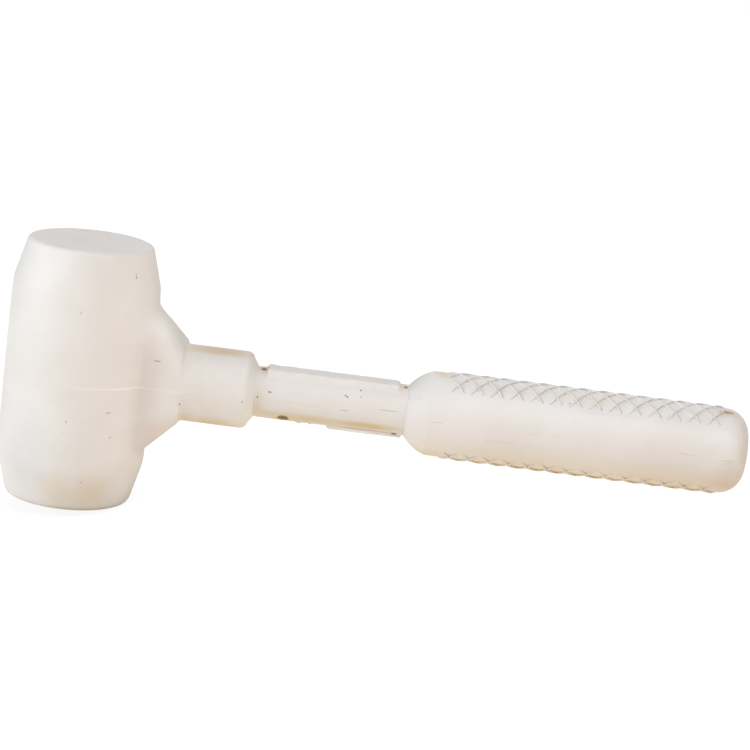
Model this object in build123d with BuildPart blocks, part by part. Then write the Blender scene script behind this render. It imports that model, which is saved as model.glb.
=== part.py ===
"""Dead-blow rubber mallet: a shot-filled steel canister and a tubular steel handle core under moulded rubber.

The origin is the centre of the lower striking face. +Z runs up the head's axis and +X along the handle.
Lengths are in millimetres.
"""
import os
from math import asin, cos, pi, radians, sin, sqrt, tan

from build123d import *

# Head, moulded with its web and collar
head_height = 107.0
belly_diameter = 60.6
shoulder_diameter = 60.0
shoulder_radius = 10.0
face_diameter = 50.6
taper_height = 17.5
rim_radius = 2.0
face_thickness = 12.0
web_angle = 44.0
web_corner_radius = 8.5
collar_diameter = 31.6
collar_start = 43.0
collar_end = 70.0
collar_cone_length = 3.0
collar_edge = 1.5

# Neck
neck_diameter = 20.8
neck_length = 61.8
land_width = 9.5
land_height = 0.5
upper_land_gap = 3.9
upper_land_length = 54.0
lower_land_gap = 1.0
lower_land_length = 30.5
support_hole_diameter = 4.8
support_hole_place = 12.4
support_hole_angle = 35.0

# Grip
grip_diameter = 34.6
grip_length = 140.2
grip_shoulder_length = 9.5
grip_shoulder_bulge = 0.9
grip_end_radius = 10.0
grip_end_dome = 0.8
rib_width = 0.8
rib_height = 0.7
rib_pitch = 8.0
rib_angle = 48.0
rib_band_width = 23.6
rib_first_crossing = 11.7
rib_start = 15.2
rib_end_gap = 12.0

# Canister and its shot
canister_diameter = 40.0
canister_wall = 2.0
cap_thickness = 4.0
cap_recess = 1.5
fill_hole_diameter = 8.0
plug_flange_diameter = 12.0
plug_flange_thickness = 1.0
ball_diameter = 6.9
ball_gap = 0.1
shot_clearance = 0.3
shot_fill = 0.8

# Handle core and its fastenings
core_diameter = 16.0
core_wall = 2.0
core_end_gap = 0.5
core_cover = 11.0
socket_diameter = 22.0
socket_end = 60.0
weld_leg = 3.0
pin_diameter = 4.0
pin_place = 42.0
plug_depth = 10.0
core_flange = 2.0
washer_diameter = 26.0
washer_thickness = 3.0
first_washer_place = 23.0
last_washer_gap = 35.2

# Places that follow from the sizes above
handle_height = head_height / 2
handle_axis = Axis((0, 0, handle_height), (1, 0, 0))
collar_radius = collar_diameter / 2
neck_radius = neck_diameter / 2
grip_radius = grip_diameter / 2
core_radius = core_diameter / 2
canister_radius = canister_diameter / 2
bore_radius = canister_radius - canister_wall
canister_bottom = face_thickness
canister_top = head_height - face_thickness
chamber_bottom = canister_bottom + cap_recess + cap_thickness
chamber_top = canister_top - cap_recess - cap_thickness
neck_start = collar_end + collar_cone_length
grip_start = neck_start + neck_length
grip_end = grip_start + grip_length
core_start = canister_radius + core_end_gap
core_end = grip_end - core_cover - core_flange
handle_plane = Plane.XY.offset(handle_height)


def cross_plane(x):
    """Plane across the handle at x, looking along +X, with its origin on the handle's axis."""
    return Plane(origin=(x, 0, handle_height), x_dir=(0, 1, 0), z_dir=(1, 0, 0))


# Canister tube: a plain length of steel tube, standing in the head
with BuildPart() as canister_tube:
    with BuildSketch(Plane.XY.offset(canister_bottom)):
        Circle(canister_radius)
        Circle(bore_radius, mode=Mode.SUBTRACT)
    extrude(amount=canister_top - canister_bottom)
canister_tube.part.label = "canister_tube"

# Caps: discs set into both ends of the tube, the upper one with the filling hole
with BuildPart() as canister_cap_lower:
    with BuildSketch(Plane.XY.offset(canister_bottom + cap_recess)):
        Circle(bore_radius)
    extrude(amount=cap_thickness)
canister_cap_lower.part.label = "canister_cap_lower"

with BuildPart() as canister_cap_upper:
    with BuildSketch(Plane.XY.offset(chamber_top)):
        Circle(bore_radius)
        Circle(fill_hole_diameter / 2, mode=Mode.SUBTRACT)
    extrude(amount=cap_thickness)
canister_cap_upper.part.label = "canister_cap_upper"

# Cap welds: a three-cornered bead in the recess over each cap
with BuildPart() as cap_weld_lower:
    with BuildSketch(Plane.XZ):
        with BuildLine():
            Polyline(
                (bore_radius, canister_bottom),
                (bore_radius, canister_bottom + cap_recess),
                (bore_radius - cap_recess, canister_bottom + cap_recess),
                close=True,
            )
        make_face()
    revolve(axis=Axis.Z)
cap_weld_lower.part.label = "cap_weld_lower"

with BuildPart() as cap_weld_upper:
    add(mirror(cap_weld_lower.part, about=handle_plane, mode=Mode.PRIVATE))
cap_weld_upper.part.label = "cap_weld_upper"

# Fill plug: closes the filling hole, with a thin flange on the cap
with BuildPart() as fill_plug:
    with BuildSketch(Plane.XY.offset(chamber_top)):
        Circle(fill_hole_diameter / 2)
    extrude(amount=cap_thickness)
    with BuildSketch(Plane.XY.offset(chamber_top + cap_thickness)):
        Circle(plug_flange_diameter / 2)
    extrude(amount=plug_flange_thickness)
fill_plug.part.label = "fill_plug"

# Shot: loose steel balls in rings, each layer turned half a step over the one below
ball_spacing = ball_diameter + ball_gap
rings = []
layer_height = 0
ring_radius = bore_radius - shot_clearance - ball_diameter / 2
while ring_radius > ball_spacing / 2:
    ball_count = int(pi / asin(ball_spacing / 2 / ring_radius))
    half_step = 2 * ring_radius * sin(pi / ball_count / 2)
    layer_height = max(layer_height, sqrt(ball_spacing**2 - half_step**2))
    rings.append((ring_radius, ball_count))
    ring_radius -= ball_spacing
shot_room = chamber_top - chamber_bottom - 2 * shot_clearance - ball_diameter
layer_count = 1 + int(shot_fill * shot_room / layer_height)
shot_travel = shot_room - (layer_count - 1) * layer_height
with BuildPart() as shot:
    for layer in range(layer_count):
        layer_z = chamber_bottom + shot_clearance + ball_diameter / 2 + layer * layer_height
        for ring_radius, ball_count in rings:
            with Locations((0, 0, layer_z)):
                with PolarLocations(ring_radius, ball_count, start_angle=layer * 180 / ball_count):
                    Sphere(ball_diameter / 2)
shot.part.label = "shot"

# Handle socket: a steel sleeve with its inner end cut to the canister
with BuildPart() as handle_socket:
    with BuildSketch(cross_plane(0)):
        Circle(socket_diameter / 2)
        Circle(core_radius, mode=Mode.SUBTRACT)
    extrude(amount=socket_end)
    with BuildSketch():
        Circle(canister_radius)
    extrude(amount=head_height, mode=Mode.SUBTRACT)
    with BuildSketch(Plane.XZ):
        with Locations((pin_place, handle_height)):
            Circle(pin_diameter / 2)
    extrude(amount=socket_diameter, both=True, mode=Mode.SUBTRACT)
handle_socket.part.label = "handle_socket"

# Socket weld: the bead that joins the sleeve to the canister
with BuildPart() as socket_weld:
    with BuildSketch(Plane.XZ):
        with BuildLine():
            Polyline(
                (0, handle_height + socket_diameter / 2),
                (0, handle_height + socket_diameter / 2 + weld_leg),
                (canister_radius, handle_height + socket_diameter / 2 + weld_leg),
                (canister_radius + weld_leg, handle_height + socket_diameter / 2),
                close=True,
            )
        make_face()
    revolve(axis=handle_axis)
    with BuildSketch():
        Circle(canister_radius)
    extrude(amount=head_height, mode=Mode.SUBTRACT)
socket_weld.part.label = "socket_weld"

# Handle core: the steel tube that runs from the canister to near the end of the grip
with BuildPart() as handle_core:
    with BuildSketch(cross_plane(core_start)):
        Circle(core_radius)
        Circle(core_radius - core_wall, mode=Mode.SUBTRACT)
    extrude(amount=core_end - core_start)
    with BuildSketch(Plane.XZ):
        with Locations((pin_place, handle_height)):
            Circle(pin_diameter / 2)
    extrude(amount=core_diameter, both=True, mode=Mode.SUBTRACT)
handle_core.part.label = "handle_core"

# Socket pin: driven across the sleeve and the core
with BuildPart() as socket_pin:
    with BuildSketch(Plane.XZ):
        with Locations((pin_place, handle_height)):
            Circle(pin_diameter / 2)
    extrude(amount=socket_diameter / 2, both=True)
    with BuildSketch(cross_plane(0)):
        Circle(socket_diameter / 2)
    extrude(amount=socket_end, mode=Mode.INTERSECT)
socket_pin.part.label = "socket_pin"

# Core end plug: keeps the rubber out of the tube
with BuildPart() as core_end_plug:
    with BuildSketch(cross_plane(core_end - plug_depth)):
        Circle(core_radius - core_wall)
    extrude(amount=plug_depth)
    with BuildSketch(cross_plane(core_end)):
        Circle(core_radius)
    extrude(amount=core_flange)
core_end_plug.part.label = "core_end_plug"

# Anchor washers: two rings welded on the core that hold the grip's rubber
with BuildPart() as anchor_washers:
    for place in (grip_start + first_washer_place, grip_end - last_washer_gap):
        with BuildSketch(cross_plane(place)):
            Circle(washer_diameter / 2)
            Circle(core_radius, mode=Mode.SUBTRACT)
        extrude(amount=washer_thickness)
anchor_washers.part.label = "anchor_washers"

# Web: the brace between head and collar, as wide as the collar and growing towards the head
web_rise = (collar_start - canister_radius) * tan(radians(web_angle))
with BuildPart() as web:
    with BuildSketch(Plane.XZ):
        with BuildLine():
            Polyline(
                (canister_radius, handle_height - collar_radius - web_rise),
                (collar_start, handle_height - collar_radius),
                (collar_start, handle_height + collar_radius),
                (canister_radius, handle_height + collar_radius + web_rise),
                close=True,
            )
        make_face()
    extrude(amount=collar_radius, both=True)
    slopes = [edge for edge in web.edges().filter_by(GeomType.LINE) if 0.1 < abs(edge.tangent_at(0).X) < 0.9]
    fillet(slopes, radius=web_corner_radius)

# Head cover: the barrel head, the web that braces it and the collar, moulded as one
with BuildPart() as head_cover:
    with BuildSketch(Plane.XZ) as head_outline:
        with BuildLine():
            Polyline((0, handle_height), (0, 0), (face_diameter / 2, 0), (shoulder_diameter / 2, taper_height))
            ThreePointArc(
                (shoulder_diameter / 2, taper_height),
                (belly_diameter / 2, handle_height),
                (shoulder_diameter / 2, head_height - taper_height),
            )
            Polyline(
                (shoulder_diameter / 2, head_height - taper_height),
                (face_diameter / 2, head_height),
                (0, head_height),
                (0, handle_height),
            )
        make_face()
        for corner_radius, rounding in (
            (face_diameter / 2, rim_radius),
            (shoulder_diameter / 2, shoulder_radius),
        ):
            corners = [corner for corner in head_outline.vertices() if abs(corner.X - corner_radius) < 0.1]
            fillet(corners, radius=rounding)
    revolve(axis=Axis.Z)
    add(web.part)
    with BuildSketch(Plane.XZ):
        with BuildLine():
            Polyline(
                (0, handle_height),
                (0, handle_height + collar_radius),
                (collar_end - collar_edge, handle_height + collar_radius),
                (collar_end, handle_height + collar_radius - collar_edge),
                (neck_start, handle_height + neck_radius),
                (neck_start, handle_height),
                close=True,
            )
        make_face()
    revolve(axis=handle_axis)
    # Everything the rubber is moulded around
    canister_pieces = (canister_tube, canister_cap_lower, canister_cap_upper, cap_weld_lower, cap_weld_upper)
    for insert in canister_pieces + (fill_plug, handle_socket, socket_weld, socket_pin):
        add(insert.part, mode=Mode.SUBTRACT)
    with BuildSketch(Plane.XY.offset(chamber_bottom)):
        Circle(bore_radius)
    extrude(amount=chamber_top - chamber_bottom, mode=Mode.SUBTRACT)
    with BuildSketch(cross_plane(canister_radius - canister_wall)):
        Circle(core_radius)
    extrude(amount=neck_start, mode=Mode.SUBTRACT)
head_cover.part.label = "head_cover"

# Neck cover: a round sleeve with a flat land along its top and a short one underneath
with BuildPart() as neck_cover:
    with BuildSketch(cross_plane(neck_start)):
        Circle(neck_radius)
    extrude(amount=neck_length)
    with BuildSketch(Plane.XY.offset(handle_height)):
        with Locations((neck_start + upper_land_gap + upper_land_length / 2, 0)):
            Rectangle(upper_land_length, land_width)
    extrude(amount=neck_radius + land_height)
    with BuildSketch(Plane.XY.offset(handle_height)):
        with Locations((grip_start - lower_land_gap - lower_land_length / 2, 0)):
            Rectangle(lower_land_length, land_width)
    extrude(amount=-neck_radius - land_height)
    with BuildSketch(cross_plane(neck_start)):
        Circle(core_radius)
    extrude(amount=neck_length, mode=Mode.SUBTRACT)
    support_direction = (0, -sin(radians(support_hole_angle)), -cos(radians(support_hole_angle)))
    support_plane = Plane(
        origin=(neck_start + support_hole_place, 0, handle_height), x_dir=(1, 0, 0), z_dir=support_direction
    )
    with BuildSketch(support_plane):
        Circle(support_hole_diameter / 2)
    extrude(amount=neck_diameter, mode=Mode.SUBTRACT)
neck_cover.part.label = "neck_cover"

# Ribs: a lattice of straight bars seen from above, kept to a thin skin round the grip
lattice_length = grip_length - rib_start - rib_end_gap
lattice_end = grip_start + grip_length - rib_end_gap
with BuildPart() as ribs:
    with BuildSketch(handle_plane):
        crossing = grip_start + rib_first_crossing - 2 * rib_pitch
        while crossing < lattice_end + 2 * rib_pitch:
            for turn in (rib_angle, -rib_angle):
                with Locations(Location((crossing, 0, 0), (0, 0, turn))):
                    Rectangle(rib_band_width * 2, rib_width)
            crossing += rib_pitch
        with Locations((lattice_end - lattice_length / 2, 0)):
            Rectangle(lattice_length, rib_band_width, mode=Mode.INTERSECT)
    extrude(amount=grip_diameter, both=True)
    with BuildSketch(cross_plane(grip_start)):
        Circle(grip_radius + rib_height)
        Circle(grip_radius - rib_height, mode=Mode.SUBTRACT)
    extrude(amount=grip_length, mode=Mode.INTERSECT)

# Grip cover: a round-ended grip with a lattice of fine ribs along its top and bottom
round_start = grip_end - grip_end_dome - grip_end_radius
dome_reach = grip_radius - grip_end_radius
dome_radius = (dome_reach**2 + grip_end_dome**2) / (2 * grip_end_dome)
with BuildPart() as grip_cover:
    with BuildSketch(Plane.XZ):
        with BuildLine():
            Line((grip_start, handle_height), (grip_start, handle_height + neck_radius))
            SagittaArc(
                (grip_start, handle_height + neck_radius),
                (grip_start + grip_shoulder_length, handle_height + grip_radius),
                -grip_shoulder_bulge,
            )
            Line(
                (grip_start + grip_shoulder_length, handle_height + grip_radius),
                (round_start, handle_height + grip_radius),
            )
            RadiusArc(
                (round_start, handle_height + grip_radius),
                (round_start + grip_end_radius, handle_height + dome_reach),
                grip_end_radius,
            )
            RadiusArc(
                (round_start + grip_end_radius, handle_height + dome_reach),
                (grip_end, handle_height),
                dome_radius,
            )
            Line((grip_end, handle_height), (grip_start, handle_height))
        make_face()
    revolve(axis=handle_axis)
    add(ribs.part)
    with BuildSketch(cross_plane(grip_start)):
        Circle(core_radius)
    extrude(amount=core_end - grip_start, mode=Mode.SUBTRACT)
    add(anchor_washers.part, mode=Mode.SUBTRACT)
    add(core_end_plug.part, mode=Mode.SUBTRACT)
grip_cover.part.label = "grip_cover"

os.makedirs("parts", exist_ok=True)
for piece in (
    head_cover,
    neck_cover,
    grip_cover,
    canister_tube,
    canister_cap_lower,
    canister_cap_upper,
    cap_weld_lower,
    cap_weld_upper,
    fill_plug,
    shot,
    handle_socket,
    socket_weld,
    socket_pin,
    handle_core,
    core_end_plug,
    anchor_washers,
):
    export_step(piece.part, f"parts/{piece.part.label}.step")
print("overall length", round(shoulder_diameter / 2 + grip_end, 2))
print("balls", len(shot.part.solids()), "shot travel", round(shot_travel, 3))
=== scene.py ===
"""Rubber mallet: its moulded covers, the steel parts under them, and a plain pale studio.

The file is laid out as an add-on and run as a script. Lengths are in metres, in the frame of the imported
model: the origin is the centre of the lower striking face, +Z runs up the head and +X along the handle.
"""
import math
from functools import partial

import bmesh
import bpy
from bpy.props import FloatProperty, FloatVectorProperty, PointerProperty
from mathutils import Matrix, Vector, noise


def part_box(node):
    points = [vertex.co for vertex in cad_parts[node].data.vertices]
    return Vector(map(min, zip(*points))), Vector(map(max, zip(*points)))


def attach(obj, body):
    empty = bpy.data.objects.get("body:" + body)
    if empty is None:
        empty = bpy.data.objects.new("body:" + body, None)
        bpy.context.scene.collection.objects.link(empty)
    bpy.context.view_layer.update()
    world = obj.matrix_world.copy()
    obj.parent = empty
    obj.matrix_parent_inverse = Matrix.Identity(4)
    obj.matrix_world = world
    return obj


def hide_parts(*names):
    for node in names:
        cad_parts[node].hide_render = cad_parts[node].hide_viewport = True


bl_info = {
    "name": "Rubber Mallet",
    "version": (1, 0, 0),
    "blender": (4, 5, 0),
    "location": "View3D > Sidebar > Mallet",
    "description": "Finished covers, steel parts and studio for a moulded rubber mallet",
    "category": "Object",
}

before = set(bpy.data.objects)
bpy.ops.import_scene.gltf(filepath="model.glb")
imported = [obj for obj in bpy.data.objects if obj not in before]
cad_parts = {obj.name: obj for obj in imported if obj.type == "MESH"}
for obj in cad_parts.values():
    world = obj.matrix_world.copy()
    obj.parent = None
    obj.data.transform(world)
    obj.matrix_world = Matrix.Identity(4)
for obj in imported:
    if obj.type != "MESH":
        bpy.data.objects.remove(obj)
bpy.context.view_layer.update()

MM = 0.001
HEAD_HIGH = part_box("head_cover")[1]
NECK_LOW, NECK_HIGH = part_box("neck_cover")
GRIP_LOW, GRIP_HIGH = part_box("grip_cover")
TUBE_LOW, TUBE_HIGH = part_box("canister_tube")
SLEEVE_LOW, SLEEVE_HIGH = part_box("handle_socket")
WELD_LOW, WELD_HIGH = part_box("socket_weld")
CORE_LOW, CORE_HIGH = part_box("handle_core")
PLUG_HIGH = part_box("core_end_plug")[1]
WASHERS_LOW, WASHERS_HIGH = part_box("anchor_washers")
HANDLE_HEIGHT = (GRIP_LOW.z + GRIP_HIGH.z) / 2
BELLY_RADIUS = HEAD_HIGH.y
SLEEVE_RADIUS = (SLEEVE_HIGH.z - SLEEVE_LOW.z) / 2
WELD_RADIUS = (WELD_HIGH.z - WELD_LOW.z) / 2
CORE_RADIUS = (CORE_HIGH.z - CORE_LOW.z) / 2
WASHER_RADIUS = (WASHERS_HIGH.z - WASHERS_LOW.z) / 2
HANDLE_AXIS = Vector((1, 0, 0))
HEAD_AXIS = Vector((0, 0, 1))
ROUND_STEPS = 160
CUT_SPARE = 1 * MM
SAME_PLACE = 1e-6
SAME_POINT = 1e-7


def length(name, description, millimetres):
    """A length property whose default is given in millimetres."""
    return FloatProperty(
        name=name, description=description, default=millimetres * MM, unit="LENGTH", precision=5
    )


def colour(name, description, default):
    """A colour property."""
    return FloatVectorProperty(
        name=name, description=description, default=default, size=3, subtype="COLOR", max=1
    )


class MalletSizes(bpy.types.PropertyGroup):
    """Sizes of the moulded covers"""

    shoulder_radius: length("Shoulder radius", "Radius of the head where its tapered ends start", 30.0)
    face_radius: length("Face radius", "Radius of a striking face before its rim is rounded", 25.4)
    taper: length("Taper", "Height of each tapered end of the head", 17.5)
    rim_rounding: length("Upper rim rounding", "Setback of the rounded rim of the upper face", 1.3)
    lower_rim_rounding: length("Lower rim rounding", "Setback of the rounded rim of the lower face", 2.1)
    shoulder_rounding: length("Shoulder rounding", "Setback of the soft crease over each taper", 2.0)
    collar_radius: length("Collar radius", "Radius of the collar, and half the width of the web", 15.8)
    collar_start: length("Collar start", "Distance from the head's axis to the web's end", 43.0)
    collar_end: length("Collar end", "Distance from the head's axis to the collar's outer edge", 70.0)
    collar_edge: length("Collar edge", "Rounding at the collar's outer edge", 1.5)
    web_corner: length("Web corner", "Radius of the web's long edges", 8.5)
    neck_radius: length("Neck radius", "Radius of the neck between its lands", 10.4)
    land_width: length("Land width", "Width of the flat lands on the neck", 9.5)
    land_height: length("Land height", "Height of the lands over the round neck", 0.5)
    upper_land_gap: length("Upper land gap", "Gap between the collar and the upper land", 3.9)
    upper_land_length: length("Upper land length", "Length of the land on top of the neck", 54.0)
    lower_land_gap: length("Lower land gap", "Gap between the lower land and the grip", 1.0)
    lower_land_length: length("Lower land length", "Length of the land under the neck", 30.5)
    support_hole_radius: length("Support hole", "Radius of the core support mark under the neck", 2.4)
    support_hole_place: length("Support hole place", "Distance of the support mark from the collar", 12.4)
    grip_radius: length("Grip radius", "Radius of the smooth grip", 17.3)
    shoulder_length: length("Grip shoulder", "Length of the rounded shoulder where the grip starts", 9.5)
    shoulder_bulge: length("Grip shoulder bulge", "Rise of the grip's shoulder over a straight cone", 0.9)
    end_rounding: length("Grip end rounding", "Radius of the grip's rounded end", 10.0)
    end_dome: length("Grip end dome", "Rise of the shallow dome at the grip's end", 0.8)
    rib_width: length("Rib width", "Width of a grip rib", 0.85)
    rib_height: length("Rib height", "Height of a grip rib over the smooth grip", 0.7)
    rib_pitch: length("Rib pitch", "Distance along the grip from one rib to the next", 8.0)
    rib_band: length("Rib band", "Width of the ribbed band, seen from above", 23.6)
    rib_start: length("Rib start", "Distance from the neck to the start of the ribs", 15.2)
    rib_crossing: length("Rib crossing", "Distance from the neck to the first crossing on top", 11.7)
    rib_end_gap: length("Rib end gap", "Gap between the last ribs and the grip's end", 11.0)
    parting_line: length("Parting line", "Height of the fine line where the mould halves met", 0.16)


class MalletColours(bpy.types.PropertyGroup):
    """Colours of the rubber, the steel and the studio"""

    rubber: colour("Rubber", "Clean moulded rubber", (0.84, 0.81, 0.8))
    rubber_shade: colour("Dull rubber", "Duller rubber between the clean parts", (0.805, 0.77, 0.748))
    # The stain colour is a real stain on the collar's top; elsewhere it is painted warm shade, laid under the
    # covers and low on the head.
    stain: colour("Stain", "Yellow-brown stain in the hollows of the rubber", (0.68, 0.49, 0.2))
    # The soil colour is mostly painted pinkish shade, in the web's root and on the grip's rounded end, and a
    # faint streak along the grip's front.
    soil_and_shade: colour("Soil", "Pinkish brown of handled rubber", (0.58, 0.4, 0.32))
    # Painted cool shade, which darkens the barrel towards the bottom on its left.
    cool_shade: colour("Dust", "Cool grey dust on the rubber", (0.55, 0.6, 0.63))
    # Painted highlight colour: pale lines and patches where light catches the parting line, the web, the
    # lower land and the grip's top.
    painted_highlight: colour("Rubbed rubber", "Rubber rubbed pale on ridges", (0.95, 0.93, 0.91))
    # Laid on one flank of each grip rib as grime and painted shadow in the crease beside it.
    grime: colour("Grime", "Brown grime beside the grip's ribs", (0.3, 0.22, 0.13))
    # The pore colour also paints a shadow line in the crease along the front of the neck's lower land.
    pore_and_crease_shadow: colour("Pore", "Dark pores and support marks in the rubber", (0.14, 0.085, 0.045))
    tube_steel: colour("Tube steel", "Drawn tube of the canister and the core", (0.5, 0.51, 0.53))
    weld_steel: colour("Weld steel", "Weld beads with their heat tint", (0.24, 0.22, 0.21))
    shot_steel: colour("Shot steel", "Dull steel balls", (0.33, 0.33, 0.35))
    plated_steel: colour("Plated steel", "Zinc plating on the pin, plugs and washers", (0.62, 0.6, 0.54))


# Mesh helpers


def lathe(bm, points, axis, steps=ROUND_STEPS):
    """Adds a closed solid turned about an axis from an outline that starts and ends on it."""
    centre = Vector((0, 0, HANDLE_HEIGHT))
    verts = [bm.verts.new(point) for point in points]
    edges = [bm.edges.new(pair) for pair in zip(verts, verts[1:])]
    before = set(bm.verts) - set(verts)
    bmesh.ops.spin(
        bm,
        geom=verts + edges,
        cent=centre,
        axis=axis,
        angle=math.tau,
        steps=steps,
        use_merge=True,
        use_duplicate=False,
    )
    turned = [vert for vert in bm.verts if vert not in before]
    bmesh.ops.remove_doubles(bm, verts=turned, dist=SAME_POINT)
    faces = [face for face in bm.faces if face.verts[0] not in before]
    bmesh.ops.recalc_face_normals(bm, faces=faces)


def handle_outline(*places):
    """Outline of a shape turned about the handle's axis, from pairs of x and the radius there."""
    return [Vector((x, 0, HANDLE_HEIGHT + radius)) for x, radius in places]


def rod_outline(start, end, radius):
    """Outline of a plain rod on the handle's axis."""
    return handle_outline((start, 0), (start, radius), (end, radius), (end, 0))


def round_handle(x, radius, turn):
    """Point on a round part of the handle, from its turn in degrees from the top towards the front."""
    angle = math.radians(turn)
    return Vector((x, -radius * math.sin(angle), HANDLE_HEIGHT + radius * math.cos(angle)))


def handle_place(x, y, rise):
    """Point given in millimetres: its x and y, and its rise over the handle's axis."""
    return Vector((x * MM, y * MM, HANDLE_HEIGHT + rise * MM))


def areas(place, rows):
    """Areas of a finish, from rows of a spot, the radii along each axis and how strong the area is."""
    return [(place(*spot), radii, strength) for spot, radii, strength in rows]


def bevel(bm, edges, offset, segments):
    """Rounds edges."""
    bmesh.ops.bevel(
        bm,
        geom=edges,
        offset=offset,
        offset_type="OFFSET",
        segments=segments,
        profile=0.5,
        affect="EDGES",
        material=-1,
    )


def smooth(bm, verts, passes):
    """Softens the shape around some vertices."""
    for _ in range(passes):
        bmesh.ops.smooth_vert(
            bm, verts=verts, factor=0.5, use_axis_x=True, use_axis_y=True, use_axis_z=True
        )


def length_along_x(edge):
    """How far an edge runs along X."""
    return abs(edge.verts[0].co.x - edge.verts[1].co.x)


def round_ring(bm, radius, height, offset, segments):
    """Rounds a ring of the head, given its radius and its height."""
    on_ring = {
        vert
        for vert in bm.verts
        if abs(vert.co.xy.length - radius) < SAME_PLACE and abs(vert.co.z - height) < SAME_PLACE
    }
    ring = [edge for edge in bm.edges if on_ring.issuperset(edge.verts)]
    bevel(bm, ring, offset, segments)


def working_object(bm, name):
    """A linked object that holds a bmesh while modifiers work on it."""
    mesh = bpy.data.meshes.new(name)
    bm.to_mesh(mesh)
    bm.free()
    obj = bpy.data.objects.new(name, mesh)
    bpy.context.collection.objects.link(obj)
    return obj


def finished(obj, *helpers):
    """The mesh of an object with its modifiers applied, as a bmesh. The objects are removed."""
    result = bmesh.new()
    result.from_object(obj, bpy.context.evaluated_depsgraph_get())
    for used in (obj,) + helpers:
        bpy.data.meshes.remove(used.data)
    return result


def fused(bm, voxel, passes):
    """One skin over all the overlapping shells in a bmesh, softened where they meet."""
    obj = working_object(bm, "fusing")
    remesh = obj.modifiers.new("Fuse", "REMESH")
    remesh.mode = "VOXEL"
    remesh.voxel_size = voxel
    result = finished(obj)
    smooth(result, result.verts, passes)
    bmesh.ops.recalc_face_normals(result, faces=result.faces)
    return result


def hollowed(bm, inserts):
    """Cuts the room of the moulded-in steel parts out of a cover."""
    obj = working_object(bm, "cover")
    tool = working_object(inserts, "inserts")
    cut = obj.modifiers.new("Inserts", "BOOLEAN")
    cut.operation = "DIFFERENCE"
    cut.solver = "EXACT"
    cut.object = tool
    return finished(obj, tool)


PARTING_HEIGHT = HANDLE_HEIGHT - 1 * MM
PARTING_HALF_WIDTH = 0.4 * MM
# The share of the parting line's height that is left on the side of the head away from the grip, the x where
# that side ends, and the share that is left from the web to the neck
FAR_SIDE_LEFT = 0.1
FAR_SIDE_END = 2 * MM
HANDLE_LEFT = 0.45
PORE_REACH = 1.8
PORE_DEPTH = 0.6
SHARP_ANGLE = 40


def raise_parting_line(bm, height):
    """Raises a fine, uneven ridge where the mould halves met, lower where it has worn."""
    for offset in (-PARTING_HALF_WIDTH, 0, PARTING_HALF_WIDTH):
        bmesh.ops.bisect_plane(
            bm,
            geom=bm.verts[:] + bm.edges[:] + bm.faces[:],
            dist=SAME_POINT,
            plane_co=(0, 0, PARTING_HEIGHT + offset),
            plane_no=HEAD_AXIS,
        )
    bm.normal_update()
    ridge = [vert for vert in bm.verts if abs(vert.co.z - PARTING_HEIGHT) < SAME_PLACE]
    for vert in ridge:
        uneven = max(0.8 + 0.5 * noise.noise(vert.co * 260), 0.1)
        left = 1
        if vert.co.x < FAR_SIDE_END:
            left = FAR_SIDE_LEFT
        elif vert.co.x > BELLY_RADIUS:
            left = HANDLE_LEFT
        vert.co += vert.normal * height * uneven * left


def press_pores(bm, pores):
    """Presses small pits into a cover where air was trapped."""
    bm.normal_update()
    for centre, radius in pores:
        for vert in bm.verts:
            share = (vert.co - centre).length / (radius * PORE_REACH)
            if share < 1:
                vert.co -= vert.normal * radius * PORE_DEPTH * (1 - share * share)


def piece(name, bm, body, material, stands_for, sharp_angle=SHARP_ANGLE):
    """Makes a finished piece from a bmesh, ties it to its body and hides the CAD node that it stands for."""
    mesh = bpy.data.meshes.new(name)
    bm.to_mesh(mesh)
    bm.free()
    mesh.shade_smooth()
    mesh.set_sharp_from_angle(angle=math.radians(sharp_angle))
    mesh.materials.append(material)
    obj = bpy.data.objects.new(name, mesh)
    bpy.context.collection.objects.link(obj)
    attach(obj, body)
    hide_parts(stands_for)
    return obj


# Material helpers

# Where a Mix node keeps its colour sockets
MIX_COLOURS = slice(6, 8)
MIX_RESULT = 2


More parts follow.
